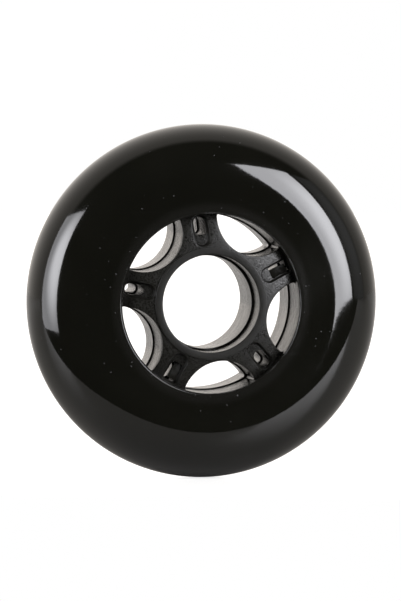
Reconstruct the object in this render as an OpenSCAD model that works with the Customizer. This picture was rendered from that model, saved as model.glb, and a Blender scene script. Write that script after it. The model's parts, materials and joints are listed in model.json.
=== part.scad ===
// Inline skate wheel: a cast tyre on a moulded hub of two halves, with empty bearing seats.
// The wheel turns about Y, its front faces -Y and Z is up. The origin is the wheel's centre.

/* [Tyre] */
// Outside diameter of the tyre
wheel_d = 80; // [74:0.5:90]
// Radius that rounds the tyre's lip beside the rim
lip_round = 0.2; // [0.1:0.05:0.4]

/* [Hub] */
// Width of the hub across its collars, and of the tyre across its flat sides
hub_w = 24; // [22:0.5:28]
// Inset of the rear half's windows and slots at the joint, which leaves a ledge there
joint_ledge = 0.3; // [0.2:0.05:0.5]
// Widening of the rear half's windows from the joint to the rear face
draft = 0.4; // [0:0.05:0.4]

/* [Bearing seats] */
// Diameter of each bearing seat
seat_d = 22; // [20:0.5:24]
// Depth of each bearing seat
seat_depth = 7; // [5:0.5:8]
// Chamfer round the mouth of each seat
seat_chamfer = 0.2; // [0.1:0.05:0.4]
// Height of the rib's shoulder behind each bearing
rib_h = 0.5; // [0.4:0.1:1.2]
// Wall of the boss between a seat and the windows
boss_wall = 2.1; // [1.9:0.1:3]
// Width of the smooth collar round each seat
collar_w = 1.7; // [1.1:0.1:1.9]
// Step from the collar down to the spokes
collar_step = 0.35; // [0.1:0.05:0.8]
// Radial depth of the front boss's counterbore behind the seat, which takes the rear half's spigot
spigot_lap = 0.9; // [0.6:0.1:1.2]
// Radial clearance round the spigot
spigot_gap = 0.05; // [0.02:0.01:0.1]

/* [Spokes and windows] */
// Number of spokes
spoke_count = 5; // [4:1:6]
// Angle of the first spoke, from +X towards +Z
spoke_turn = 25.4; // [0:0.1:72]
// Radius of the round that shapes each window
window_r = 8.8; // [8:0.1:9.5]
// Fall of the spokes' faces from the collar to the rim
spoke_drop = 2.2; // [1:0.1:3]
// Radius of the curve in which the spokes' faces fall
spoke_curve_r = 21; // [15:1:40]

/* [Rim] */
// Inside diameter of the rim
rim_bore_d = 40.4; // [38:0.2:44]
// Width of the rim's bare lip inside the tyre
lip_w = 0.25; // [0.25:0.05:0.8]
// How far the rim's lip stands behind the tyre's sides
lip_set = 0.1; // [0:0.05:0.3]
// Wall of the rim
rim_wall = 3; // [2:0.25:4]
// Thickness of the tyre over the rim's sides
rim_cover = 2; // [1:0.25:3]
// Height of the flange that anchors the tyre on the rim
flange_h = 3; // [2.5:0.25:4]
// Width of the flange
flange_w = 8; // [6:0.5:12]
// Number of notches in the flange, which the tyre fills
notch_count = 10; // [6:1:16]
// Diameter of the notches
notch_d = 4; // [2:0.5:4.5]

/* [Slots and tabs] */
// Width of the slot through each spoke
slot_w = 2.6; // [2.2:0.1:3]
// Length of the slot along the spoke
slot_l = 4.3; // [3.6:0.1:4.8]
// Radius of the corners of a slot with a tab, where the other slots have round ends
slot_round = 0.35; // [0.2:0.05:0.6]
// Distance from the slot to the rim
slot_edge = 0.7; // [0.5:0.1:1.5]
// Border of the shallow pocket round the slot
pocket_border = 0.5; // [0.3:0.05:0.6]
// Distance from the pocket to the collar and to the rim
pocket_edge = 0.2; // [0.1:0.05:0.5]
// Depth of the pocket below the spoke's face
pocket_depth = 0.9; // [0.5:0.1:1.5]
// Gap between a tab and one long side of its slot
tab_side_gap = 0.7; // [0.4:0.05:1]
// Gap between a tab and the outer end of its slot
tab_end_gap = 0.45; // [0.3:0.05:1]
// How far a tab lies below the floor of the pocket, at the middle of its slot
tab_set = 0.3; // [0.1:0.1:1]
// Thickness of a tab
tab_t = 1; // [0.75:0.25:3]
// Depth of a tab's roots in the walls of its slot
tab_root = 0.6; // [0.3:0.1:0.8]
// Spokes that have a tab, counted from the first as 0
tab_spokes = [0, 3]; // [0:1:5]

/* [Hidden] */
$fn = 96;
cut_past = 1;
half_w = hub_w / 2;
crown_r = half_w;
crown_center_r = wheel_d / 2 - crown_r;
seat_r = seat_d / 2;
rib_r = seat_r - rib_h;
rib_z = half_w - seat_depth;
counterbore_r = seat_r + spigot_lap;
spigot_r = counterbore_r - spigot_gap;
collar_r = seat_r + collar_w;
collar_foot_z = half_w - collar_step;
spoke_rim_z = collar_foot_z - spoke_drop;
window_center_r = seat_r + boss_wall + window_r;
spoke_pitch = 360 / spoke_count;
rim_bore_r = rim_bore_d / 2;
face_l = rim_bore_r - collar_r;
face_chord = norm([face_l, spoke_drop]);
face_center_depth = sqrt(pow(spoke_curve_r, 2) - pow(face_chord / 2, 2)) / face_chord;
face_center_r = (collar_r + rim_bore_r) / 2 - face_center_depth * spoke_drop;
face_center_z = collar_foot_z - spoke_drop / 2 - face_center_depth * face_l;
lip_r = rim_bore_r + lip_w;
lip_z = half_w - lip_set;
rim_side_z = half_w - rim_cover;
rim_r = rim_bore_r + rim_wall;
flange_r = rim_r + flange_h;
flange_z = flange_w / 2;
slot_center_r = rim_bore_r - slot_edge - slot_l / 2;
pocket_w = slot_w + 2 * pocket_border;
pocket_l = face_l - 2 * pocket_edge;
pocket_center_r = (collar_r + rim_bore_r) / 2;
tab_z = spoke_z(slot_center_r) - pocket_depth - tab_set - tab_t;

// Outline of the rim in a half section, above the joint plane, from the lip to the flange
rim_outline = [
    [lip_r, rim_side_z],
    [rim_r, rim_side_z],
    [rim_r, flange_z],
    [flange_r, flange_z],
    [flange_r, 0]
];

// Turns a shape made about +Z, with its face upwards, to the front of the wheel
module to_front() {
    rotate([90, 0, 0])
        children();
}

// Turns a shape made about +Z, with its face upwards, to the rear of the wheel
module to_rear() {
    to_front()
        mirror([0, 0, 1])
            children();
}

// Repeats a shape round the axis
module around(count, first) {
    for (i = [0 : count - 1])
        rotate([0, 0, first + i * 360 / count])
            children();
}

// A rectangle with fully round ends, centred on the origin
module oval(l, w) {
    square([l - w, w], center = true);
    for (x = [-1, 1])
        translate([x * (l - w) / 2, 0])
            circle(d = w);
}

// A rectangle with round corners, centred on the origin
module round_rectangle(l, w, r) {
    square([l - 2 * r, w], center = true);
    square([l, w - 2 * r], center = true);
    for (x = [-1, 1], y = [-1, 1])
        translate([x * (l / 2 - r), y * (w / 2 - r)])
            circle(r);
}

// The waste of a rounded corner, with the corner at the origin and the shape in +X +Y
module corner_waste(r) {
    difference() {
        square(r);
        translate([r, r])
            circle(r);
    }
}

// Half section of the tyre: flat sides, a fully round crown and rounded lips
module tyre_section() {
    difference() {
        union() {
            translate([lip_r, -half_w])
                square([crown_center_r - lip_r, hub_w]);
            translate([crown_center_r, 0])
                intersection() {
                    circle(crown_r);
                    translate([0, -half_w])
                        square([crown_r, hub_w]);
                }
        }
        for (side = [0, 1])
            mirror([0, side])
                translate([lip_r, -half_w])
                    corner_waste(lip_round);
    }
}

// Half section of a boss, with the points of its bore given from the joint outwards
module boss_section(bore_points) {
    polygon(concat(bore_points, [
        [seat_r, rib_z],
        [seat_r, half_w - seat_chamfer],
        [seat_r + seat_chamfer, half_w],
        [collar_r, half_w],
        [collar_r, 0]
    ]));
}

// Half section of a rim half
module rim_section(inset, widening) {
    polygon(concat([
        [drafted_r(rim_bore_r - inset, widening, 0), 0],
        [drafted_r(rim_bore_r - inset, widening, lip_z), lip_z],
        [lip_r, lip_z]
    ], rim_outline));
}

// Half section of the spokes, from inside the boss to inside the rim's lip
module spoke_section(inset, widening) {
    in_r = (counterbore_r + collar_r) / 2;
    out_r = (drafted_r(rim_bore_r - inset, widening, spoke_rim_z) + lip_r) / 2;
    intersection() {
        translate([in_r, 0])
            square([out_r - in_r, half_w]);
        translate([face_center_r, face_center_z])
            circle(spoke_curve_r);
    }
}

// Notches in the flange, from below the joint plane to above the flange
module notches() {
    around(notch_count, spoke_turn)
        translate([flange_r, 0, -flange_z - cut_past])
            cylinder(d = notch_d, h = flange_w + 2 * cut_past);
}

// Cuts for the windows between the spokes
module window_cuts(inset, widening) {
    around(spoke_count, spoke_turn + spoke_pitch / 2)
        translate([window_center_r, 0, -cut_past])
            cylinder(
                r1 = drafted_r(window_r - inset, widening, -cut_past),
                r2 = drafted_r(window_r - inset, widening, half_w + cut_past),
                h = half_w + 2 * cut_past);
}

// A hub half without its pockets and slots
module half_blank(bore_points, inset, widening) {
    difference() {
        union() {
            rotate_extrude()
                boss_section(bore_points);
            rotate_extrude()
                rim_section(inset, widening);
            difference() {
                rotate_extrude()
                    spoke_section(inset, widening);
                window_cuts(inset, widening);
            }
        }
        notches();
    }
}

// Cuts for the shallow pockets, whose outer ends are nearly square where the slots have tabs
module pocket_cuts(tabbed) {
    difference() {
        for (i = [0 : spoke_count - 1])
            rotate([0, 0, spoke_turn + i * spoke_pitch])
                translate([pocket_center_r, 0, 0])
                    linear_extrude(half_w) {
                        oval(pocket_l, pocket_w);
                        if (len(search(i, tabbed)) > 0)
                            translate([pocket_l / 4, 0])
                                round_rectangle(pocket_l / 2, pocket_w, slot_round + pocket_border);
                    }
        translate([0, 0, -pocket_depth])
            rotate_extrude()
                spoke_section(0, 0);
    }
}

// Cuts for the slots through the spokes, with nearly square ones for the tabs if there are any
module slot_cuts(inset, tabbed) {
    for (i = [0 : spoke_count - 1])
        rotate([0, 0, spoke_turn + i * spoke_pitch])
            translate([slot_center_r, 0, -cut_past])
                linear_extrude(half_w + 2 * cut_past)
                    if (len(search(i, tabbed)) > 0)
                        round_rectangle(slot_l, slot_w, slot_round);
                    else
                        oval(slot_l - 2 * inset, slot_w - 2 * inset);
}

// Tabs in the slots of some spokes, which leave a gap at the outer end and along one side, in turn
module tabs() {
    for (i = [0 : len(tab_spokes) - 1])
        rotate([0, 0, spoke_turn + tab_spokes[i] * spoke_pitch])
            mirror([0, i % 2, 0])
                translate([slot_center_r - slot_l / 2 - tab_root, -slot_w / 2 - tab_root, tab_z])
                    cube([slot_l - tab_end_gap + tab_root, slot_w - tab_side_gap + tab_root, tab_t]);
}

// Radius of a drafted wall at a height above the joint plane
function drafted_r(r, widening, z) = r + widening * z / half_w;

// Height of the spokes' faces above the joint plane at a radius
function spoke_z(r) = face_center_z + sqrt(pow(spoke_curve_r, 2) - pow(r - face_center_r, 2));

// The polyurethane tyre, cast round the rim
module tyre() {
    color([0.03, 0.03, 0.03])
        to_front()
            difference() {
                rotate_extrude()
                    tyre_section();
                difference() {
                    rotate_extrude()
                        for (side = [0, 1])
                            mirror([0, side])
                                polygon(concat([[rim_bore_r, 0], [rim_bore_r, rim_side_z]], rim_outline));
                    notches();
                }
            }
}

// The near half of the hub, with a counterbore for the spigot of the far half
module front_hub_half() {
    color([0.07, 0.07, 0.07])
        to_front() {
            difference() {
                half_blank([[counterbore_r, 0], [counterbore_r, rib_z]], 0, 0);
                pocket_cuts(tab_spokes);
                slot_cuts(0, tab_spokes);
            }
            tabs();
        }
}

// The far half of the hub, with the rib between the bearings
module rear_hub_half() {
    color([0.07, 0.07, 0.07])
        to_rear()
            difference() {
                half_blank(
                    [[spigot_r, 0], [spigot_r, -rib_z], [rib_r, -rib_z], [rib_r, rib_z]],
                    joint_ledge,
                    draft);
                pocket_cuts([]);
                slot_cuts(joint_ledge, []);
            }
}

tyre();
front_hub_half();
rear_hub_half();
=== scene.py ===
"""Inline skate wheel: a cast tyre on a hub of two mouldings, dressed and lit as in a small studio."""

import json
import logging
import math
from collections.abc import Callable, Mapping, Sequence
from dataclasses import dataclass
from enum import Enum, IntEnum
from functools import cached_property

import bmesh
import bpy
from mathutils import Matrix, Vector
from mathutils.geometry import delaunay_2d_cdt


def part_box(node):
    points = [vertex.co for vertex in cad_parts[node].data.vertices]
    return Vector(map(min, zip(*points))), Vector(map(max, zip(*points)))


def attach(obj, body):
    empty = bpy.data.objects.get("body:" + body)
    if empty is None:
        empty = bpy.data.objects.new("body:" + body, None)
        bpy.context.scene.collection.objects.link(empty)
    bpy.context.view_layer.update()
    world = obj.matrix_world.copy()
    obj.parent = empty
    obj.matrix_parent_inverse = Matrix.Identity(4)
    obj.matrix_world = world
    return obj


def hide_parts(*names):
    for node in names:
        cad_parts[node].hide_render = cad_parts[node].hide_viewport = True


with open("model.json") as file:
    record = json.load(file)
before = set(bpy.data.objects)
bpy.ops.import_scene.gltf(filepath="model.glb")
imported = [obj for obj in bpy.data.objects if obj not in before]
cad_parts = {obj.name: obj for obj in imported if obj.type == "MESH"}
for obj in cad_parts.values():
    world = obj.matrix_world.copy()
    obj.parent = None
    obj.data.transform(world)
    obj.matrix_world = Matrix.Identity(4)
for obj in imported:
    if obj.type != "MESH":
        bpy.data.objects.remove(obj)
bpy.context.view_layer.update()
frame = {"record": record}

log = logging.getLogger("wheel")

Points = list[Vector]
Span = tuple[float, float]
Colour = tuple[float, float, float, float]
Height = Callable[[float], float]
Socket = bpy.types.NodeSocket
# A corner of a section: across, up and the radius of its round, with 0 for a sharp one
Corner = tuple[float, float, float]

MM = 0.001
BODY = "root"
FINISH_LAYER = "finish"
PHOTO_HEIGHT_PX = 601
NO_SPOKE = -1

# Points nearer than this are one, in a mesh and in an outline that is filled
MERGE_MM = 0.001
FILL_MERGE_MM = 0.0001
# Faces that meet at more than this show a sharp edge
SHARP_ANGLE = math.radians(32)
# Steps over the round of an edge, and round the corner of an outline
EDGE_STEPS = 4
CORNER_STEPS = 8
# Distance that points inside a face keep from its border, as a share of their spacing
GRID_CLEARANCE = 0.6
# The kind of result in which a triangulation keeps to its outlines
TRIANGLES_INSIDE = 1
# Pieces are built about Z with the front up, and this turns their axle to Y
AXLE_TO_Y = Matrix.Rotation(math.pi / 2, 4, "X")


class Side(Enum):
    """The side of the wheel that a hub half faces, as the sign of Y."""

    FRONT = -1
    REAR = 1


class Finish(IntEnum):
    """The finish of a moulded face, as its code on the mesh."""

    SMOOTH = 0
    SPARK = 1
    WALL = 2


# Outlines


def polar(radius: float, angle: float) -> Vector:
    """A point in the plane, by its radius and its angle from X."""
    return Vector((radius * math.cos(angle), radius * math.sin(angle)))


def between(start: float, end: float, steps: int) -> list[float]:
    """Evenly spaced values from start to end, both included."""
    return [start + (end - start) * i / steps for i in range(steps + 1)]


def arc(center: Vector, radius: float, start: float, end: float, steps: int) -> Points:
    """Points on a round stretch, from one angle to another."""
    return [center + polar(radius, a) for a in between(start, end, steps)]


def rounded_corner(before: Vector, here: Vector, after: Vector, radius: float) -> Points:
    """Rounds a corner of a line.

    Args:
        before: The corner before it.
        here: The corner.
        after: The corner after it.
        radius: Radius of the round.

    Returns:
        The points of the round.
    """
    back = (before - here).normalized()
    ahead = (after - here).normalized()
    half = back.angle(ahead) / 2
    center = here + (back + ahead).normalized() * (radius / math.sin(half))
    reach = radius / math.tan(half)
    first = here + back * reach - center
    last = here + ahead * reach - center
    start = math.atan2(first.y, first.x)
    return arc(center, radius, start, start - first.angle_signed(last), CORNER_STEPS)


def rounded_line(corners: Sequence[Corner]) -> Points:
    """Draws a line through corners, each rounded by its own radius.

    Args:
        corners: The corners, of which the first and the last stay sharp.

    Returns:
        The points of the line.
    """
    points = [Vector(c[:2]) for c in corners]
    line = [points[0]]
    for before, here, after, (_, _, radius) in zip(points, points[1:], points[2:], corners[1:]):
        line += rounded_corner(before, here, after, radius) if radius else [here]
    return [*line, points[-1]]


def round_rectangle(center: float, length: float, width: float, outer: float, inner: float) -> Points:
    """Draws a closed outline with round corners, lying along X.

    Args:
        center: Place of its middle on X.
        length: Size along X.
        width: Size along Y.
        outer: Radius of the corners at its far end.
        inner: Radius of the corners at its near end.

    Returns:
        The points of the outline, anticlockwise.
    """
    quarter = math.pi / 2
    outline: Points = []
    for i, (sx, sy) in enumerate(((1, 1), (-1, 1), (-1, -1), (1, -1))):
        radius = outer if sx > 0 else inner
        middle = Vector((center + sx * (length / 2 - radius), sy * (width / 2 - radius)))
        outline += arc(middle, radius, i * quarter, (i + 1) * quarter, CORNER_STEPS)
    return outline


def inside(point: Vector, outline: Points) -> bool:
    """Tests whether a point lies in a closed outline.

    Args:
        point: The point.
        outline: The corners of the outline.

    Returns:
        Whether a ray from the point crosses the outline an odd number of times.
    """
    found = False
    for a, b in zip(outline, outline[1:] + outline[:1]):
        if (a.y > point.y) != (b.y > point.y):
            if point.x < a.x + (b.x - a.x) * (point.y - a.y) / (b.y - a.y):
                found = not found
    return found


# Meshes


class Shell:
    """Collects the faces of a moulding, in millimetres, each with its finish."""

    def __init__(self) -> None:
        """Starts with no faces."""
        self.bm = bmesh.new()
        self.layer = self.bm.faces.layers.int.new(FINISH_LAYER)

    def face(self, corners: Sequence[bmesh.types.BMVert], finish: Finish) -> None:
        """Adds one face, unless it has fewer than three corners of its own."""
        if len(set(corners)) > 2:
            self.bm.faces.new(corners)[self.layer] = finish

    def sheet(self, rows: Sequence[Points], finish: Finish, closed: bool = False) -> None:
        """Adds a sheet of four-sided faces between rows of points.

        Args:
            rows: Rows of equally many points.
            finish: The finish of the faces.
            closed: Whether each row runs on to its first point.
        """
        grid = [[self.bm.verts.new(p) for p in row] for row in rows]
        for low, high in zip(grid, grid[1:]):
            ends = zip(low, low[1:] + low[:1], high[1:] + high[:1], high)
            for corners in list(ends)[: None if closed else -1]:
                self.face(corners, finish)

    def cap(
        self,
        outline: Points,
        holes: Sequence[Points],
        height: Height,
        finish: Finish,
        spacing: float = 0.0,
    ) -> None:
        """Fills an outline with triangles, leaving holes.

        Args:
            outline: The closed outer edge.
            holes: Closed edges inside it.
            height: Height of the face at a radius.
            finish: The finish of the faces.
            spacing: Distance between points inside the face, or 0 for none.
        """
        points: Points = []
        edges: list[tuple[int, int]] = []
        for loop in (outline, *holes):
            first = len(points)
            count = len(loop)
            points += [Vector(p[:2]) for p in loop]
            edges += [(first + i, first + (i + 1) % count) for i in range(count)]
        if spacing:
            points += self.scattered(outline, holes, points, spacing)
        places, _, triangles, *_ = delaunay_2d_cdt(
            points, edges, [], TRIANGLES_INSIDE, FILL_MERGE_MM
        )
        verts = [self.bm.verts.new((p.x, p.y, height(p.length))) for p in places]
        for triangle in triangles:
            middle = sum((places[i] for i in triangle), Vector((0, 0))) / len(triangle)
            if inside(middle, outline) and not any(inside(middle, h) for h in holes):
                self.face([verts[i] for i in triangle], finish)

    @staticmethod
    def scattered(
        outline: Points, holes: Sequence[Points], border: Points, spacing: float
    ) -> Points:
        """Lays a square grid of points in an outline.

        Args:
            outline: The closed outer edge.
            holes: Closed edges inside it, which are left free.
            border: All points of these edges.
            spacing: Distance between the points.

        Returns:
            The points that are clear of the border.
        """
        across = [p.x for p in border]
        up = [p.y for p in border]
        columns = int((max(across) - min(across)) / spacing)
        rows = int((max(up) - min(up)) / spacing)
        grid = (
            Vector((min(across) + (i + 0.5) * spacing, min(up) + (j + 0.5) * spacing))
            for i in range(columns + 1)
            for j in range(rows + 1)
        )
        return [
            p
            for p in grid
            if min((p - b).length for b in border) > spacing * GRID_CLEARANCE
            and inside(p, outline)
            and not any(inside(p, h) for h in holes)
        ]

    def mesh(self, name: str) -> bpy.types.Mesh:
        """Turns the faces into a mesh and lets go of them.

        Args:
            name: The mesh's name.

        Returns:
            The mesh, in metres.
        """
        bmesh.ops.remove_doubles(self.bm, verts=self.bm.verts, dist=MERGE_MM)
        self.bm.transform(Matrix.Scale(MM, 4))
        mesh = bpy.data.meshes.new(name)
        self.bm.to_mesh(mesh)
        self.bm.free()
        return mesh


def settle(mesh: bpy.types.Mesh, turn: Matrix) -> None:
    """Turns a closed mesh to its place, with its faces outwards and its sharp edges marked.

    Args:
        mesh: The mesh, in metres and about Z.
        turn: What brings it to its place.
    """
    mesh.transform(turn)
    bm = bmesh.new()
    bm.from_mesh(mesh)
    bmesh.ops.remove_doubles(bm, verts=bm.verts, dist=MERGE_MM * MM)
    bmesh.ops.recalc_face_normals(bm, faces=bm.faces)
    for face in bm.faces:
        face.smooth = True
    for edge in bm.edges:
        edge.smooth = edge.calc_face_angle(0) < SHARP_ANGLE
    open_edges = sum(not e.is_manifold for e in bm.edges)
    if open_edges:
        log.warning("%s has %d open edges", mesh.name, open_edges)
    bm.to_mesh(mesh)
    bm.free()


def linked(name: str, data: bpy.types.ID) -> bpy.types.Object:
    """Makes an object and adds it to the scene.

    Args:
        name: The object's name.
        data: Its mesh or its camera.

    Returns:
        The object.
    """
    thing = bpy.data.objects.new(name, data)
    bpy.context.scene.collection.objects.link(thing)
    return thing


def piece_from(mesh: bpy.types.Mesh, name: str, node: str) -> bpy.types.Object:
    """Makes a mesh a piece that rides on the body.

    Args:
        mesh: The piece's mesh, in its place.
        name: The piece's name.
        node: The node of the CAD model that it stands for.

    Returns:
        The piece.
    """
    piece = linked(name, mesh)
    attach(piece, BODY)
    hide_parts(node)
    return piece


# Node trees


class Wiring:
    """Adds nodes to a tree and joins them."""

    def __init__(self, tree: bpy.types.NodeTree) -> None:
        """Starts on a tree and clears it."""
        self.tree = tree
        tree.nodes.clear()

    def add(
        self, kind: str, inputs: Mapping[str | int, object] | None = None, **settings: object
    ) -> bpy.types.Node:
        """Adds a node.

        Args:
            kind: The node's type.
            inputs: A value or an output to join, for each input by name or place.
            settings: The node's own settings.

        Returns:
            The new node.
        """
        node = self.tree.nodes.new(kind)
        for name, value in settings.items():
            setattr(node, name, value)
        for key, value in (inputs or {}).items():
            if isinstance(value, Socket):
                self.tree.links.new(value, node.inputs[key])
            else:
                node.inputs[key].default_value = value
        return node

    def compute(self, operation: str, *values: object) -> Socket:
        """The result of a sum on values or outputs."""
        node = self.add("ShaderNodeMath", dict(enumerate(values)), operation=operation)
        return node.outputs[0]

    def same(self, first: object, second: object) -> Socket:
        """Whether two whole numbers are the same, which are a comparison's inputs 2 and 3."""
        inputs = {2: first, 3: second}
        node = self.add("FunctionNodeCompare", inputs, data_type="INT", operation="EQUAL")
        return node.outputs[0]

    def ramp(self, value: Socket, low: float, high: float) -> Socket:
        """A value smoothly raised from 0 at low to 1 at high."""
        inputs = {"Value": value, "From Min": low, "From Max": high}
        node = self.add("ShaderNodeMapRange", inputs, interpolation_type="SMOOTHSTEP")
        return node.outputs["Result"]

    def tint(self, share: Socket, first: object, second: object) -> Socket:
        """A colour between two colours, which are a mix's inputs 6 and 7 and its output 2."""
        node = self.add("ShaderNodeMix", {"Factor": share, 6: first, 7: second}, data_type="RGBA")
        return node.outputs[2]

    def noise(self, place: Socket, scale: float, detail: float = 2.0) -> Socket:
        """The strength of a noise texture at a place."""
        inputs = {"Vector": place, "Scale": scale, "Detail": detail}
        return self.add("ShaderNodeTexNoise", inputs).outputs["Fac"]

    def bump(self, height: Socket, depth_mm: float, strength: float = 1.0) -> Socket:
        """The normal of a surface that is raised by a texture."""
        inputs = {"Strength": strength, "Distance": depth_mm * MM, "Height": height}
        return self.add("ShaderNodeBump", inputs).outputs[0]

    def surface(self, kind: str, inputs: Mapping[str, object]) -> None:
        """Adds a shader and ends a material's tree in it."""
        shader = self.add(kind, inputs)
        self.add("ShaderNodeOutputMaterial", {"Surface": shader.outputs[0]})


@dataclass(frozen=True)
class TreeInput:
    """A named input of a geometry tree, and its value for one piece."""

    name: str
    kind: str
    value: object


class GeometryTree:
    """A geometry tree with named inputs, run on a mesh to give a plain mesh."""

    def __init__(self, name: str, inputs: Sequence[TreeInput]) -> None:
        """Makes the tree's inputs and its output.

        Args:
            name: The tree's name.
            inputs: The inputs after the geometry.
        """
        self.tree = bpy.data.node_groups.new(name, "GeometryNodeTree")
        self.wiring = Wiring(self.tree)
        sockets = self.tree.interface
        sockets.new_socket("Geometry", in_out="INPUT", socket_type="NodeSocketGeometry")
        sockets.new_socket("Geometry", in_out="OUTPUT", socket_type="NodeSocketGeometry")
        self.values = {
            sockets.new_socket(i.name, in_out="INPUT", socket_type=i.kind).identifier: i.value
            for i in inputs
        }
        self.source = self.wiring.add("NodeGroupInput").outputs
        self.sink = self.wiring.add("NodeGroupOutput").inputs

    def end(self, geometry: Socket, materials: Mapping[int, bpy.types.Material]) -> None:
        """Ends the tree in plain geometry.

        Args:
            geometry: What the tree has made.
            materials: The material for each finish code.
        """
        add = self.wiring.add
        realized = add("GeometryNodeRealizeInstances", {"Geometry": geometry}).outputs[0]
        merging = {"Geometry": realized, "Distance": MERGE_MM * MM}
        result = add("GeometryNodeMergeByDistance", merging).outputs[0]
        layer = add("GeometryNodeInputNamedAttribute", {"Name": FINISH_LAYER}, data_type="INT")
        for code, material in materials.items():
            here = self.wiring.same(layer.outputs["Attribute"], code)
            dressing = {"Geometry": result, "Selection": here, "Material": material}
            result = add("GeometryNodeSetMaterial", dressing).outputs[0]
        self.tree.links.new(result, self.sink[0])

    def run(self, mesh: bpy.types.Mesh, name: str) -> bpy.types.Mesh:
        """Runs the tree on a mesh.

        Args:
            mesh: What the tree starts from, which is removed.
            name: The result's name.

        Returns:
            The result as a plain mesh.
        """
        holder = linked(name, mesh)
        modifier = holder.modifiers.new(self.tree.name, "NODES")
        modifier.node_group = self.tree
        for identifier, value in self.values.items():
            modifier[identifier] = value
        graph = bpy.context.evaluated_depsgraph_get()
        result = bpy.data.meshes.new_from_object(holder.evaluated_get(graph))
        result.name = name
        holder.modifiers.remove(modifier)
        bpy.data.objects.remove(holder)
        bpy.data.meshes.remove(mesh)
        return result


# Finishes


def new_material(name: str) -> tuple[bpy.types.Material, Wiring]:
    """Makes a material with an empty node tree.

    Args:
        name: The material's name.

    Returns:
        The material and its tree's wiring.
    """
    material = bpy.data.materials.new(name)
    material.use_nodes = True
    return material, Wiring(material.node_tree)


@dataclass(frozen=True)
class CastUrethane:
    """Glossy black cast polyurethane, with dust and hairlines."""

    name: str = "cast_urethane"
    dark: Colour = (0.0030, 0.0030, 0.0020, 1)
    pale: Colour = (0.0056, 0.0056, 0.0039, 1)
    # Painted sheen: a lighter colour for the ring beside the rim, standing in for a brighter
    # reflection there
    painted_sheen: Colour = (0.0072, 0.0070, 0.0056, 1)
    dust: Colour = (0.014, 0.014, 0.015, 1)
    ior: float = 1.6
    gloss: float = 0.06
    smear: float = 0.04
    smear_at: Span = (0.4, 0.75)
    # Radii over which the ring beside the rim grows rougher and lighter with painted sheen
    dull_and_sheen_mm: Span = (23.4, 21.4)
    cloud_scale: float = 60.0
    cloud_detail: float = 3.0
    speck_mm: float = 0.17
    speck_pitch_mm: float = 1.2
    speck_rarity: float = 0.88
    speck_roughness: float = 0.5
    hair_turn: float = 0.5
    hair_scale: tuple[float, float, float] = (25.0, 25.0, 2200.0)
    hair_at: Span = (0.66, 0.76)
    hair_roughness: float = 0.05
    skin_scale: float = 700.0
    skin_depth_mm: float = 0.02
    skin_strength: float = 0.25

    def material(self) -> bpy.types.Material:
        """Makes the finish, rougher and lightened by a painted sheen where the tyre meets the rim.

        Returns:
            The material.
        """
        material, wiring = new_material(self.name)
        place = wiring.add("ShaderNodeTexCoord").outputs["Object"]
        cloud = wiring.noise(place, self.cloud_scale, self.cloud_detail)
        ring = self.ring(wiring, place)
        specks = self.specks(wiring, place)
        body = wiring.tint(cloud, self.dark, self.pale)
        # Painted sheen: the tyre's colour is lighter in the ring beside the rim, which is also
        # rougher below
        body = wiring.tint(ring, body, self.painted_sheen)
        layers = (
            (wiring.ramp(cloud, *self.smear_at), self.smear),
            (self.hairs(wiring, place), self.hair_roughness),
            (ring, self.smear),
            (specks, self.speck_roughness),
        )
        rough: float | Socket = self.gloss
        for share, roughness in layers:
            rough = wiring.compute("MULTIPLY_ADD", share, roughness, rough)
        skin = wiring.noise(place, self.skin_scale)
        wiring.surface(
            "ShaderNodeBsdfPrincipled",
            {
                "Base Color": wiring.tint(specks, body, self.dust),
                "Roughness": rough,
                "IOR": self.ior,
                "Normal": wiring.bump(skin, self.skin_depth_mm, self.skin_strength),
            },
        )
        return material

    def ring(self, wiring: Wiring, place: Socket) -> Socket:
        """Finds the ring beside the rim, which is rougher and lightened by a painted sheen.

        Args:
            wiring: The material's wiring.
            place: The place on the tyre.

        Returns:
            The share of the ring, from 0 to 1.
        """
        flat = wiring.add("ShaderNodeVectorMath", {0: place, 1: (1, 0, 1)}, operation="MULTIPLY")
        out = wiring.add("ShaderNodeVectorMath", {0: flat.outputs[0]}, operation="LENGTH")
        return wiring.ramp(out.outputs["Value"], *(r * MM for r in self.dull_and_sheen_mm))

    def specks(self, wiring: Wiring, place: Socket) -> Socket:
        """Strews specks of dust, each of its own size.

        Args:
            wiring: The material's wiring.
            place: The place on the tyre.

        Returns:
            1 on a speck and 0 elsewhere.
        """
        scale = 1 / (self.speck_pitch_mm * MM)
        cells = wiring.add("ShaderNodeTexVoronoi", {"Vector": place, "Scale": scale}).outputs
        chance = wiring.add("ShaderNodeSeparateColor", {0: cells["Color"]}).outputs
        size = wiring.compute("MULTIPLY", chance[0], self.speck_mm / self.speck_pitch_mm)
        speck = wiring.compute("LESS_THAN", cells["Distance"], size)
        rare = wiring.compute("GREATER_THAN", chance[1], self.speck_rarity)
        return wiring.compute("MULTIPLY", speck, rare)

    def hairs(self, wiring: Wiring, place: Socket) -> Socket:
        """Draws fine hairlines, all in one direction.

        Args:
            wiring: The material's wiring.
            place: The place on the tyre.

        Returns:
            The share of a hairline, from 0 to 1.
        """
        inputs = {"Vector": place, "Rotation": (0, self.hair_turn, 0), "Scale": self.hair_scale}
        stretched = wiring.add("ShaderNodeMapping", inputs).outputs[0]
        return wiring.ramp(wiring.noise(stretched, 1), *self.hair_at)


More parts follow.
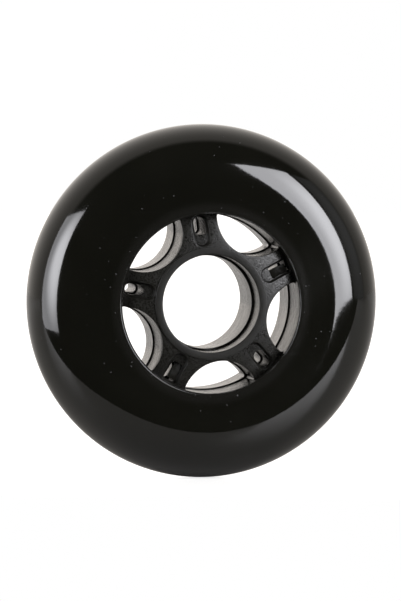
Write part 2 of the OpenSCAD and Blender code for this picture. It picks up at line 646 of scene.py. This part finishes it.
@dataclass(frozen=True)
class MouldedPlastic:
    """Black moulded plastic, with the grain or the streaks of its mould."""

    name: str
    colour: Colour = (0.0070, 0.0067, 0.0054, 1)
    worn: Colour = (0.0125, 0.0121, 0.0100, 1)
    worn_at: Span = (0.1, 0.4)
    roughness: float = 0.3
    roughness_swing: float = 0.16
    rough_at: Span = (0.35, 0.65)
    grain_mm: float = 0.3
    grain_depth_mm: float = 0.01
    grain_detail: float = 3.0
    cloud_scale: float = 250.0
    cloud_detail: float = 4.0
    streak: float = 1.0
    ior: float = 1.46

    def material(self) -> bpy.types.Material:
        """Makes the finish, with streaks that run round the axle.

        Returns:
            The material.
        """
        material, wiring = new_material(self.name)
        place = wiring.add("ShaderNodeTexCoord").outputs["Object"]
        drawn = (1 / self.streak, 1, 1 / self.streak)
        laid = wiring.add("ShaderNodeMapping", {"Vector": place, "Scale": drawn}).outputs[0]
        grain = wiring.noise(laid, 1 / (self.grain_mm * MM), self.grain_detail)
        cloud = wiring.noise(place, self.cloud_scale, self.cloud_detail)
        mottle = wiring.ramp(wiring.compute("MULTIPLY", grain, cloud), *self.worn_at)
        spread = wiring.ramp(grain, *self.rough_at)
        swing = self.roughness_swing
        least = self.roughness - swing / 2
        wiring.surface(
            "ShaderNodeBsdfPrincipled",
            {
                "Base Color": wiring.tint(mottle, self.colour, self.worn),
                "Roughness": wiring.compute("MULTIPLY_ADD", spread, swing, least),
                "IOR": self.ior,
                "Normal": wiring.bump(grain, self.grain_depth_mm),
            },
        )
        return material


@dataclass(frozen=True)
class FloorCard:
    """Card with a low sheen, which keeps a soft shadow and looks white to the camera.

    Mirrored in the wheel it runs into the white background, from the first distance to the second.
    """

    name: str = "floor_card"
    colour: Colour = (0.42, 0.41, 0.39, 1)
    glow: Colour = (1, 1, 1, 1)
    roughness: float = 0.3
    lift: float = 0.8
    sweep: Span = (0.0, 0.4)
    sweep_lift: float = 0.22
    fibre_scale: float = 900.0
    fibre_depth_mm: float = 0.02

    def material(self) -> bpy.types.Material:
        """Makes the finish.

        Returns:
            The material.
        """
        material, wiring = new_material(self.name)
        place = wiring.add("ShaderNodeTexCoord").outputs["Object"]
        fibres = wiring.noise(place, self.fibre_scale)
        path = wiring.add("ShaderNodeLightPath").outputs
        behind = wiring.add("ShaderNodeSeparateXYZ", {0: place}).outputs["Y"]
        swept = wiring.compute("MULTIPLY", wiring.ramp(behind, *self.sweep), self.sweep_lift)
        mirrored = wiring.compute("MULTIPLY", path["Is Glossy Ray"], swept)
        lifted = wiring.compute("MULTIPLY_ADD", path["Is Camera Ray"], self.lift, mirrored)
        wiring.surface(
            "ShaderNodeBsdfPrincipled",
            {
                "Base Color": self.colour,
                "Roughness": self.roughness,
                "Normal": wiring.bump(fibres, self.fibre_depth_mm),
                "Emission Color": self.glow,
                "Emission Strength": lifted,
            },
        )
        return material


@dataclass(frozen=True)
class SoftboxCloth:
    """The lit cloth of a softbox, brightest at one spot."""

    name: str
    colour: Colour = (0.96, 0.96, 1.0, 1)
    strength: float = 9.0
    fade: float = 0.4
    fade_at: Span = (0.1, 0.6)
    bright_at: Span = (0.5, 0.5)

    def material(self) -> bpy.types.Material:
        """Makes the finish.

        Returns:
            The material.
        """
        material, wiring = new_material(self.name)
        spot = wiring.add("ShaderNodeTexCoord").outputs["UV"]
        ends = {0: spot, 1: (*self.bright_at, 0)}
        away = wiring.add("ShaderNodeVectorMath", ends, operation="DISTANCE").outputs["Value"]
        dimmed = wiring.compute("MULTIPLY", wiring.ramp(away, *self.fade_at), -self.fade)
        strength = wiring.compute("MULTIPLY_ADD", dimmed, self.strength, self.strength)
        wiring.surface("ShaderNodeEmission", {"Color": self.colour, "Strength": strength})
        return material


# The wheel


@dataclass(frozen=True)
class WheelSizes:
    """Sizes that the tyre and the hub share, in millimetres."""

    wheel_r: float
    half_w: float
    seat_r: float
    rib_r: float
    lip_r: float = 20.45
    rim_side_z: float = 10.0
    rim_r: float = 23.2
    flange_r: float = 26.2
    flange_z: float = 4.0

    @classmethod
    def from_frame(cls) -> "WheelSizes":
        """Reads the wheel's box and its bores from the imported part.

        Returns:
            The sizes.
        """
        _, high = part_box("tyre")
        radius = {m["name"]: m["dims"]["r_mm"] for m in frame["record"]["mounts"]}
        return cls(
            wheel_r=high.x / MM,
            half_w=high.y / MM,
            seat_r=radius["front_bearing_seat"],
            rib_r=radius["spacer_bore"],
        )

    def rim_outline(self) -> list[Corner]:
        """The rim under the tyre, from its lip to the joint plane."""
        return [
            (self.lip_r, self.rim_side_z, 0),
            (self.rim_r, self.rim_side_z, 0),
            (self.rim_r, self.flange_z, 0),
            (self.flange_r, self.flange_z, 0),
            (self.flange_r, 0, 0),
        ]


@dataclass
class Tyre:
    """The cast tyre: flat sides, a fully round crown and rounded lips, in millimetres."""

    sizes: WheelSizes
    finish: CastUrethane
    lip_round: float = 0.2
    crown_steps: int = 64
    side_steps: int = 10
    segments: int = 320

    @property
    def crown_center_r(self) -> float:
        """Radius at which the crown has its centre."""
        return self.sizes.wheel_r - self.sizes.half_w

    def section(self) -> Points:
        """Draws the closed section of the tyre.

        Returns:
            The points, as radius and height along the axle.
        """
        s = self.sizes
        center_r = self.crown_center_r
        quarter = math.pi / 2
        crown = arc(Vector((center_r, 0)), s.half_w, -quarter, quarter, self.crown_steps)
        side = [(center_r, s.half_w, 0), (s.lip_r, s.half_w, self.lip_round)]
        bore = rounded_line([*side, *s.rim_outline()])[1:]
        flat = between(center_r, bore[0].x, self.side_steps)[1:-1]
        upper = [Vector((r, s.half_w)) for r in flat] + bore
        lower = [Vector((p.x, -p.y)) for p in reversed(upper[:-1])]
        return crown + upper + lower

    def tree(self) -> GeometryTree:
        """Makes the tree that sweeps the section round the axle.

        Returns:
            The tree.
        """
        tree = GeometryTree(
            "tyre_sweep",
            [
                TreeInput("Path radius", "NodeSocketFloat", self.crown_center_r * MM),
                TreeInput("Segments", "NodeSocketInt", self.segments),
            ],
        )
        add = tree.wiring.add
        profile = add("GeometryNodeMeshToCurve", {"Mesh": tree.source["Geometry"]})
        path = add(
            "GeometryNodeCurvePrimitiveCircle",
            {"Resolution": tree.source["Segments"], "Radius": tree.source["Path radius"]},
        )
        swept = add(
            "GeometryNodeCurveToMesh",
            {"Curve": path.outputs[0], "Profile Curve": profile.outputs[0]},
        )
        tree.end(swept.outputs[0], {0: self.finish.material()})
        return tree

    def build(self) -> bpy.types.Object:
        """Builds the tyre and puts it in its place.

        Returns:
            The piece.
        """
        section = self.section()
        count = len(section)
        places = [((p.x - self.crown_center_r) * MM, p.y * MM, 0) for p in section]
        mesh = bpy.data.meshes.new("tyre_section")
        mesh.from_pydata(places, [(i, (i + 1) % count) for i in range(count)], [])
        swept = self.tree().run(mesh, "cast_tyre")
        settle(swept, AXLE_TO_Y)
        return piece_from(swept, "cast_tyre", "tyre")


@dataclass
class HubHalf:
    """One moulding of the hub: boss, five spokes with slots, and half of the rim, in millimetres."""

    side: Side
    sizes: WheelSizes
    materials: Mapping[Finish, bpy.types.Material]
    node: str
    spokes: int = 5
    first_spoke: float = math.radians(25.4)
    # How much narrower the openings are at the joint, and how much they widen up to the side
    inset: float = 0.0
    widening: float = 0.0
    # The boss with its bore
    seat_depth: float = 7.0
    seat_round: float = 0.22
    rib_round: float = 0.15
    counterbore_r: float = 11.9
    spigot_r: float = 11.85
    collar_r: float = 12.7
    collar_step: float = 0.35
    collar_round: float = 0.12
    # The spokes, the windows between them and the rim's lip
    spoke_drop: float = 2.2
    spoke_curve_r: float = 21.0
    window_r: float = 8.8
    window_center_r: float = 21.9
    corner_round: float = 0.6
    edge_round: float = 0.14
    rim_bore_r: float = 20.2
    lip_set: float = 0.1
    lip_round: float = 0.03
    # The pockets in the spokes and the slots through their floors
    slot_l: float = 4.3
    slot_w: float = 2.6
    slot_center_r: float = 17.35
    pocket_w: float = 3.6
    pocket_edge: float = 0.2
    pocket_depth: float = 0.9
    pocket_round: float = 0.12
    pocket_lean: float = 0.36
    fine_round: float = 0.06
    # The marks of the ejector pins, with radius and depth along their section as shares
    mark_r: float = 0.55
    mark_center_r: float = 13.95
    mark_depth: float = 0.07
    mark_shares: tuple[Span, ...] = (
        (1, 0), (0.9, 1), (0.65, 1), (0.5, 0), (0.3, 0), (0.2, 1), (0, 1)
    )
    # The tabs, with the spoke that has one as built and the spoke that has its mirror image
    tab_spokes: tuple[int, int] = (NO_SPOKE, NO_SPOKE)
    tab_side_gap: float = 0.7
    tab_end_gap: float = 0.45
    tab_set: float = 0.3
    tab_t: float = 1.0
    tab_root: float = 0.6
    tab_round: float = 0.15
    tab_slot_round: float = 0.35
    # The fineness of the mesh
    face_spacing: float = 0.8
    wall_steps: int = 4
    flank_steps: int = 22
    window_steps: int = 18
    spoke_steps: int = 14
    boss_steps: int = 40
    mark_steps: int = 24

    @property
    def half_pitch(self) -> float:
        """Half of the angle from one spoke to the next."""
        return math.pi / self.spokes

    @property
    def foot_z(self) -> float:
        """Height of the spokes' faces beside the collar."""
        return self.sizes.half_w - self.collar_step

    @cached_property
    def face_center(self) -> Vector:
        """Centre of the curve in which the spokes' faces fall, as radius and height."""
        length = self.rim_bore_r - self.collar_r
        chord = math.hypot(length, self.spoke_drop)
        depth = math.sqrt(self.spoke_curve_r**2 - (chord / 2) ** 2) / chord
        middle = Vector(((self.collar_r + self.rim_bore_r) / 2, self.foot_z - self.spoke_drop / 2))
        return middle - depth * Vector((self.spoke_drop, length))

    def spoke_z(self, radius: float) -> float:
        """Height of the spokes' faces at a radius, which fall in a curve towards the rim."""
        center = self.face_center
        return center.y + math.sqrt(self.spoke_curve_r**2 - (radius - center.x) ** 2)

    def floor_z(self, radius: float) -> float:
        """Height of the pockets' floors at a radius."""
        return self.spoke_z(radius) - self.pocket_depth

    def drafted(self, radius: float, z: float) -> float:
        """Radius of a drafted wall at a height above the joint."""
        return radius - self.inset + self.widening * z / self.sizes.half_w

    def flank(self, share: float, offset: float) -> Points:
        """Draws the edge of a window beside the spoke, from the window's middle to the rim.

        Args:
            share: Height in the wall, from 0 at the joint to 1 at the spoke's face.
            offset: Distance into the spoke.

        Returns:
            The points of the edge, with a round in the corner at the rim.
        """
        z = share * self.foot_z
        window = self.drafted(self.window_r, z) - self.corner_round
        rim = self.drafted(self.rim_bore_r, z)
        reach = rim - self.corner_round
        away = self.window_center_r
        center = polar(away, self.half_pitch)
        swing = math.acos((away**2 + window**2 - reach**2) / (2 * away * window))
        inwards = self.half_pitch + math.pi
        corner = center + polar(window, inwards + swing)
        radius = self.corner_round + offset
        meet = (rim**2 - reach**2 - radius**2) / (2 * reach * radius)
        last = math.atan2(corner.y, corner.x) + 2 * math.pi - math.acos(min(1.0, meet))
        edge = arc(center, window + radius, inwards, inwards + swing, self.flank_steps)
        return edge + arc(corner, radius, inwards + swing, last, CORNER_STEPS)[1:]

    def flank_rows(self) -> list[Points]:
        """Lays points up a spoke's flank and over its rounded edge.

        Returns:
            Rows of points from the joint to the spoke's face.
        """
        rows: list[Points] = []
        edge = self.edge_round
        for share in between(0, 1, self.wall_steps):
            line = self.flank(share, 0)
            rows.append([Vector((*p, share * (self.spoke_z(p.length) - edge))) for p in line])
        for angle in between(0, math.pi / 2, EDGE_STEPS)[1:]:
            line = self.flank(1, edge * (1 - math.cos(angle)))
            drop = edge * (1 - math.sin(angle))
            rows.append([Vector((*p, self.spoke_z(p.length) - drop)) for p in line])
        return rows

    def rim_rows(self, flank: Sequence[Points]) -> list[Points]:
        """Lays points on the rim's wall in half a window.

        Args:
            flank: Rows of points on the spoke's flank, from whose ends the wall runs on.

        Returns:
            Rows of points at the heights of the flank's ends.
        """
        rows: list[Points] = []
        for edge in flank:
            end = edge[-1]
            radius = end.to_2d().length
            angles = between(math.atan2(end.y, end.x), self.half_pitch, self.window_steps)
            rows.append([Vector((*polar(radius, a), end.z)) for a in angles])
        return rows

    def boss_line(self) -> Points:
        """Draws the boss's section, from the joint round the seat to the spokes' faces.

        Returns:
            The points, as radius and height.
        """
        s = self.sizes
        rib_z = s.half_w - self.seat_depth
        if self.side is Side.FRONT:
            bore = [(self.counterbore_r, 0, 0), (self.counterbore_r, rib_z, 0)]
        else:
            bore = [
                (self.spigot_r, 0, 0),
                (self.spigot_r, -rib_z, 0),
                (s.rib_r, -rib_z, self.rib_round),
                (s.rib_r, rib_z, self.rib_round),
            ]
        return rounded_line(
            [
                *bore,
                (s.seat_r, rib_z, 0),
                (s.seat_r, s.half_w, self.seat_round),
                (self.collar_r, s.half_w, self.collar_round),
                (self.collar_r, self.foot_z, 0),
            ]
        )

    def ring_line(self, start: Vector) -> Points:
        """Draws the rim's section, from the spokes' faces over the lip to the joint.

        Args:
            start: Where a spoke's face ends at the rim.

        Returns:
            The points, as radius and height.
        """
        s = self.sizes
        lip_z = s.half_w - self.lip_set
        return rounded_line(
            [
                (start.to_2d().length, start.z, 0),
                (self.drafted(self.rim_bore_r, lip_z), lip_z, self.lip_round),
                (s.lip_r, lip_z, self.lip_round),
                *s.rim_outline(),
            ]
        )

    @staticmethod
    def turned(line: Points, angles: Sequence[float]) -> list[Points]:
        """Rows of points where a section is turned to each of the angles."""
        return [[Vector((*polar(p.x, a), p.y)) for a in angles] for p in line]

    @staticmethod
    def flipped(row: Points) -> Points:
        """A row of points on the other flank of the spoke."""
        return [Vector((p.x, -p.y, p.z)) for p in row]

    @staticmethod
    def edge_rows(
        outline: Callable[[float], Points], face: Height, foot: Height, edge: float, lean: float = 0.0
    ) -> list[Points]:
        """Lays points from a face over its rounded edge and down a wall.

        Args:
            outline: The wall's outline at a distance into the face.
            face: Height of the face at a radius.
            foot: Height where the wall ends, at a radius.
            edge: Radius of the edge.
            lean: How far the wall's foot stands inside its top.

        Returns:
            Rows of points from the face to the wall's foot.
        """
        rows: list[Points] = []
        for angle in between(math.pi / 2, 0, EDGE_STEPS):
            loop = outline(edge * (1 - math.cos(angle)))
            drop = edge * (1 - math.sin(angle))
            rows.append([Vector((*p, face(p.length) - drop)) for p in loop])
        rows.append([Vector((*p, foot(p.length))) for p in outline(-lean)])
        return rows

    def pocket(self, shell: Shell, slot_round: float) -> tuple[Points, Points]:
        """Adds the pocket in the spoke's face and the slot through its floor.

        Args:
            shell: What the faces go to.
            slot_round: Radius of the slot's corners.

        Returns:
            The pocket's edge in the spoke's face and the slot's edge at the joint.
        """
        middle = (self.collar_r + self.rim_bore_r) / 2
        length = self.rim_bore_r - self.collar_r - 2 * self.pocket_edge
        end_round = slot_round + (self.pocket_w - self.slot_w) / 2

        def rim(offset: float) -> Points:
            """The pocket's outline at a distance outside its wall."""
            size = length + 2 * offset, self.pocket_w + 2 * offset
            return round_rectangle(middle, *size, end_round + offset, size[1] / 2)

        def slot(offset: float) -> Points:
            """The slot's outline at a distance outside its wall."""
            grow = offset - self.inset
            size = self.slot_l + 2 * grow, self.slot_w + 2 * grow
            return round_rectangle(self.slot_center_r, *size, slot_round + grow, slot_round + grow)

        wall = self.edge_rows(rim, self.spoke_z, self.floor_z, self.pocket_round, self.pocket_lean)
        shell.sheet(wall, Finish.SMOOTH, closed=True)
        well = self.edge_rows(slot, self.floor_z, lambda _: 0.0, self.fine_round)
        shell.sheet(well, Finish.WALL, closed=True)
        mark = self.pin_mark(shell)
        shell.cap(wall[-1], [well[0], mark], self.floor_z, Finish.SPARK, self.face_spacing)
        return wall[0], well[-1]

    def pin_mark(self, shell: Shell) -> Points:
        """Adds the round mark of an ejector pin to the pocket's floor.

        Args:
            shell: What the faces go to.

        Returns:
            The mark's edge in the floor.
        """
        line = [Vector((self.mark_r * r, -self.mark_depth * depth)) for r, depth in self.mark_shares]
        rows = self.turned(line, between(0, 2 * math.pi, self.mark_steps)[:-1])
        for row in rows:
            for p in row:
                p.x += self.mark_center_r
                p.z += self.floor_z(p.to_2d().length)
        shell.sheet(rows, Finish.SMOOTH, closed=True)
        return rows[0]

    def tab(self, shell: Shell) -> None:
        """Adds a tab that closes most of a slot, rooted in the slot's inner end and one side.

        Args:
            shell: What the faces go to.
        """
        low_x = self.slot_center_r - self.slot_l / 2 - self.tab_root
        high_x = self.slot_center_r + self.slot_l / 2 - self.tab_end_gap
        low_y = -self.slot_w / 2 - self.tab_root
        high_y = self.slot_w / 2 - self.tab_side_gap
        high = self.floor_z(self.slot_center_r) - self.tab_set
        low = high - self.tab_t
        middle = Vector(((low_x + high_x) / 2, (low_y + high_y) / 2))

        def outline(inset: float) -> Points:
            """The tab's outline at a distance inside its walls."""
            size = high_x - low_x - 2 * inset, high_y - low_y - 2 * inset
            loop = round_rectangle(middle.x, *size, self.tab_round, self.tab_round)
            return [p + Vector((0, middle.y)) for p in loop]

        edge = self.fine_round
        levels = ((edge, low), (0, low + edge), (0, high - edge), (edge, high))
        rows = [[Vector((*p, z)) for p in outline(inset)] for inset, z in levels]
        shell.sheet(rows, Finish.WALL, closed=True)
        shell.cap(rows[0], [], lambda _: low, Finish.WALL)
        shell.cap(rows[-1], [], lambda _: high, Finish.WALL)

    def boss(self, shell: Shell) -> list[Points]:
        """Adds the boss behind one spoke, smooth from the mouth of its seat on.

        Args:
            shell: What the faces go to.

        Returns:
            Rows of points from the joint to the spoke's face.
        """
        line = self.boss_line()
        rows = self.turned(line, between(-self.half_pitch, self.half_pitch, self.boss_steps))
        mouth_z = self.sizes.half_w - self.seat_round
        mouth = sum(p.y < mouth_z for p in line)
        shell.sheet(rows[: mouth + 1], Finish.WALL)
        shell.sheet(rows[mouth:], Finish.SMOOTH)
        return rows

    def sector(self, tabbed: bool) -> bpy.types.Mesh:
        """Makes the part of the moulding that belongs to one spoke, about Z with the spoke along X.

        Args:
            tabbed: Whether the slot is square and has a tab.

        Returns:
            The sector as a mesh.
        """
        shell = Shell()
        flank = self.flank_rows()
        rim = self.rim_rows(flank)
        for rows in (flank, rim):
            shell.sheet(rows, Finish.WALL)
            shell.sheet([self.flipped(row) for row in rows], Finish.WALL)
        top = flank[-1][-1]
        spoke_angle = math.atan2(top.y, top.x)
        across = between(-spoke_angle, spoke_angle, self.spoke_steps)
        beside = [math.atan2(p.y, p.x) for p in rim[-1]]
        angles = [-a for a in reversed(beside)] + across[1:-1] + beside
        ring = self.turned(self.ring_line(top), angles)
        shell.sheet(ring, Finish.WALL)
        boss = self.boss(shell)
        if tabbed:
            self.tab(shell)
        pocket, slot = self.pocket(shell, self.tab_slot_round if tabbed else self.slot_w / 2)
        spoke_end = [polar(top.to_2d().length, a) for a in reversed(across[1:-1])]
        face = boss[-1] + flank[-1] + spoke_end + self.flipped(flank[-1])[::-1]
        shell.cap(face, [pocket], self.spoke_z, Finish.SPARK, self.face_spacing)
        joint = boss[0] + flank[0] + rim[0][1:] + ring[-1][::-1]
        joint += self.flipped(rim[0])[:0:-1] + self.flipped(flank[0])[::-1]
        shell.cap(joint, [slot], lambda _: 0.0, Finish.SMOOTH)
        return shell.mesh(f"{self.node}_sector")

    def tree(self, tabbed: bpy.types.Object) -> GeometryTree:
        """Makes the tree that sets sectors round the axle.

        Args:
            tabbed: The sector with a tab, used as built and mirrored.

        Returns:
            The tree, which runs on the sector without a tab.
        """
        tree = GeometryTree(
            f"{self.node}_spokes",
            [
                TreeInput("Tabbed sector", "NodeSocketObject", tabbed),
                TreeInput("Spokes", "NodeSocketInt", self.spokes),
                TreeInput("First spoke", "NodeSocketFloat", self.first_spoke),
                TreeInput("Tab", "NodeSocketInt", self.tab_spokes[0]),
                TreeInput("Mirrored tab", "NodeSocketInt", self.tab_spokes[1]),
            ],
        )
        source = tree.source
        wiring = tree.wiring
        add = wiring.add
        points = add("GeometryNodePoints", {"Count": source["Spokes"]})
        index = add("GeometryNodeInputIndex").outputs[0]
        pitch = wiring.compute("DIVIDE", 2 * math.pi, source["Spokes"])
        angle = wiring.compute("MULTIPLY_ADD", index, pitch, source["First spoke"])
        euler = add("ShaderNodeCombineXYZ", {"Z": angle})
        turn = add("FunctionNodeEulerToRotation", {0: euler.outputs[0]}).outputs[0]
        built = wiring.same(index, source["Tab"])
        flipped = wiring.same(index, source["Mirrored tab"])
        plain = add("FunctionNodeBooleanMath", {0: built, 1: flipped}, operation="NOR").outputs[0]
        other = add("GeometryNodeObjectInfo", {"Object": source["Tabbed sector"]}).outputs["Geometry"]
        joined = add("GeometryNodeJoinGeometry")
        kinds = ((source["Geometry"], plain, 1), (other, built, 1), (other, flipped, -1))
        for sector, here, sign in kinds:
            inputs = {
                "Points": points.outputs[0],
                "Rotation": turn,
                "Instance": sector,
                "Selection": here,
                "Scale": (1, sign, 1),
            }
            placed = add("GeometryNodeInstanceOnPoints", inputs)
            wiring.tree.links.new(placed.outputs[0], joined.inputs[0])
        tree.end(joined.outputs[0], self.materials)
        return tree

    def build(self) -> bpy.types.Object:
        """Builds the moulding and puts it in its place.

        Returns:
            The piece.
        """
        tabbed = self.sector(tabbed=True)
        holder = bpy.data.objects.new(tabbed.name, tabbed)
        name = f"{self.side.name.lower()}_moulding"
        mesh = self.tree(holder).run(self.sector(tabbed=False), name)
        bpy.data.objects.remove(holder)
        bpy.data.meshes.remove(tabbed)
        settle(mesh, AXLE_TO_Y @ Matrix.Scale(-self.side.value, 4, Vector((0, 0, 1))))
        return piece_from(mesh, name, self.node)


# The studio


def direction(azimuth: float, elevation: float) -> Vector:
    """The direction from the wheel to a place, with azimuth 0 at -Y and growing towards +X."""
    flat = math.cos(elevation)
    return Vector((math.sin(azimuth) * flat, -math.cos(azimuth) * flat, math.sin(elevation)))


def panel(name: str, corners: Points, material: bpy.types.Material) -> bpy.types.Object:
    """Adds a flat panel of one face to the scene.

    Args:
        name: The panel's name.
        corners: Its corners in order.
        material: Its finish.

    Returns:
        The panel.
    """
    mesh = bpy.data.meshes.new(name)
    mesh.from_pydata(corners, [], [range(len(corners))])
    mesh.materials.append(material)
    return linked(name, mesh)


@dataclass(frozen=True)
class Softbox:
    """A softbox, by the azimuth and elevation of its corners seen from the wheel, in degrees."""

    name: str
    corners: tuple[Span, Span, Span, Span]
    cloth: SoftboxCloth
    distance: float = 1.1
    cloth_corners: tuple[Span, Span, Span, Span] = ((0, 1), (0, 0), (1, 0), (1, 1))

    def build(self) -> None:
        """Builds the lit cloth, which the camera doesn't see."""
        ways = [direction(math.radians(a), math.radians(e)) for a, e in self.corners]
        box = panel(self.name, [self.distance * way for way in ways], self.cloth.material())
        cloth_map = box.data.uv_layers.new(name="cloth")
        for corner, spot in zip(cloth_map.data, self.cloth_corners):
            corner.uv = spot
        box.visible_camera = False


@dataclass
class Studio:
    """The floor, the surroundings, the softboxes and the camera, in metres."""

    floor_z: float
    card: FloorCard
    softboxes: Sequence[Softbox]
    floor_front: float = 0.05
    floor_turn: float = math.radians(-16.5)
    floor_reach: float = 1.6
    # The camera, and how far its aim is from the wheel's centre
    azimuth: float = math.radians(-10.3)
    elevation: float = math.radians(3.1)
    distance: float = 1.17
    focal_px: float = 5169.0
    sensor_mm: float = 36.0
    clip: Span = (0.05, 20.0)
    aim_right: float = -0.0003
    aim_up: float = 0.00006
    # The light of the room before and beside the wheel, and how it grows upwards and to the rear
    front_light: float = 0.02
    side_light: float = 0.28
    top_gain: float = 0.5
    rear_power: float = 1.8
    dark_turn: Span = (-0.15, 0.08)
    warm: Colour = (1.0, 0.94, 0.88, 1)
    white: Colour = (1.0, 1.0, 1.0, 1)

    def floor(self) -> None:
        """Lays the card that the wheel stands on, with its front edge near the wheel."""
        near = direction(self.floor_turn, 0)
        right = Vector((-near.y, near.x, 0)) * self.floor_reach
        low = Vector((0, 0, self.floor_z))
        front = low + near * self.floor_front
        back = low - near * self.floor_reach
        corners = [front - right, front + right, back + right, back - right]
        floor = panel("floor", corners, self.card.material())

    def surroundings(self) -> None:
        """Makes the room white behind the wheel, dim beside it and dark before it.

        It is brighter high up. The camera sees plain white.
        """
        world = bpy.data.worlds.new("studio")
        world.use_nodes = True
        bpy.context.scene.world = world
        wiring = Wiring(world.node_tree)
        add = wiring.add
        around = add("ShaderNodeTexCoord").outputs["Generated"]
        way = add("ShaderNodeSeparateXYZ", {0: around}).outputs
        beside = wiring.ramp(way["Y"], *self.dark_turn)
        behind = wiring.compute("POWER", wiring.compute("MAXIMUM", way["Y"], 0), self.rear_power)
        high = wiring.compute("MAXIMUM", way["Z"], 0)
        room = wiring.compute("MULTIPLY_ADD", beside, self.side_light, self.front_light)
        room = wiring.compute("MULTIPLY_ADD", behind, 1 - self.side_light, room)
        gain = wiring.compute("MULTIPLY_ADD", high, self.top_gain, 1)
        room = wiring.compute("MULTIPLY", room, gain)
        seen = add("ShaderNodeLightPath").outputs["Is Camera Ray"]
        strength = wiring.compute("MAXIMUM", room, seen)
        colour = wiring.tint(seen, self.warm, self.white)
        glow = add("ShaderNodeBackground", {"Color": colour, "Strength": strength})
        add("ShaderNodeOutputWorld", {"Surface": glow.outputs[0]})

    def camera(self) -> None:
        """Places the camera at the photograph's angle."""
        back = direction(self.azimuth, self.elevation)
        right = Vector((math.cos(self.azimuth), math.sin(self.azimuth), 0))
        up = back.cross(right)
        data = bpy.data.cameras.new("camera")
        data.sensor_width = self.sensor_mm
        data.lens = self.focal_px * self.sensor_mm / PHOTO_HEIGHT_PX
        data.clip_start, data.clip_end = self.clip
        camera = linked("camera", data)
        aim = right * self.aim_right + up * self.aim_up
        camera.location = aim + back * self.distance
        camera.rotation_euler = (-back).to_track_quat("-Z", "Y").to_euler()
        bpy.context.scene.camera = camera

    def build(self) -> None:
        """Builds the whole studio."""
        self.floor()
        self.surroundings()
        for box in self.softboxes:
            box.build()
        self.camera()
        bpy.context.scene.view_settings.view_transform = "Standard"


# The finishes and lights of this wheel


def hub_materials() -> dict[Finish, bpy.types.Material]:
    """Makes the finishes of the hub.

    Returns:
        The material of each finish.
    """
    smooth = MouldedPlastic("smooth_plastic", roughness_swing=0.05, ior=1.4)
    spark = MouldedPlastic(
        "spark_plastic",
        roughness=0.34,
        roughness_swing=0.28,
        grain_mm=0.34,
        grain_depth_mm=0.05,
        grain_detail=1,
        ior=1.34,
    )
    wall = MouldedPlastic(
        "wall_plastic", roughness=0.17, roughness_swing=0.24, grain_depth_mm=0.05, streak=12
    )
    finishes = {Finish.SMOOTH: smooth, Finish.SPARK: spark, Finish.WALL: wall}
    return {code: finish.material() for code, finish in finishes.items()}


def studio_lights() -> tuple[Softbox, ...]:
    """Describes the lights before the wheel.

    Returns:
        The two softboxes, and a dim reflector beside the right one.
    """
    right = Softbox(
        "right_softbox",
        ((19.2, 33), (17.2, -4.7), (55.5, -2), (55, 42.5)),
        SoftboxCloth("right_cloth", strength=11.3, fade=0.36, bright_at=(0.7, 0.45)),
    )
    reflector = Softbox(
        "right_reflector",
        ((59, 42), (60, -2), (88, -2), (86, 40)),
        SoftboxCloth("reflector_cloth", strength=0.4),
    )
    left = Softbox(
        "left_softbox",
        ((-58, 36), (-96, 34), (-98, -12), (-61, -14)),
        SoftboxCloth("left_cloth", strength=9.9, fade=0.68, bright_at=(0.45, 0.75)),
    )
    return right, reflector, left


def main() -> None:
    """Builds the wheel's pieces and the studio in order."""
    logging.basicConfig(level=logging.INFO, format="%(name)s: %(message)s")
    sizes = WheelSizes.from_frame()
    materials = hub_materials()
    tyre = Tyre(sizes, CastUrethane())
    front = HubHalf(Side.FRONT, sizes, materials, "front_hub_half", tab_spokes=(0, 3))
    rear = HubHalf(Side.REAR, sizes, materials, "rear_hub_half", inset=0.3, widening=0.4)
    for assembly in (tyre, front, rear):
        piece = assembly.build()
        log.info("%s: %d faces", piece.name, len(piece.data.polygons))
    lights = studio_lights()
    Studio(floor_z=-sizes.wheel_r * MM, card=FloorCard(), softboxes=lights).build()
    log.info("studio: %d lights", len(lights))


if __name__ == "__main__":
    main()
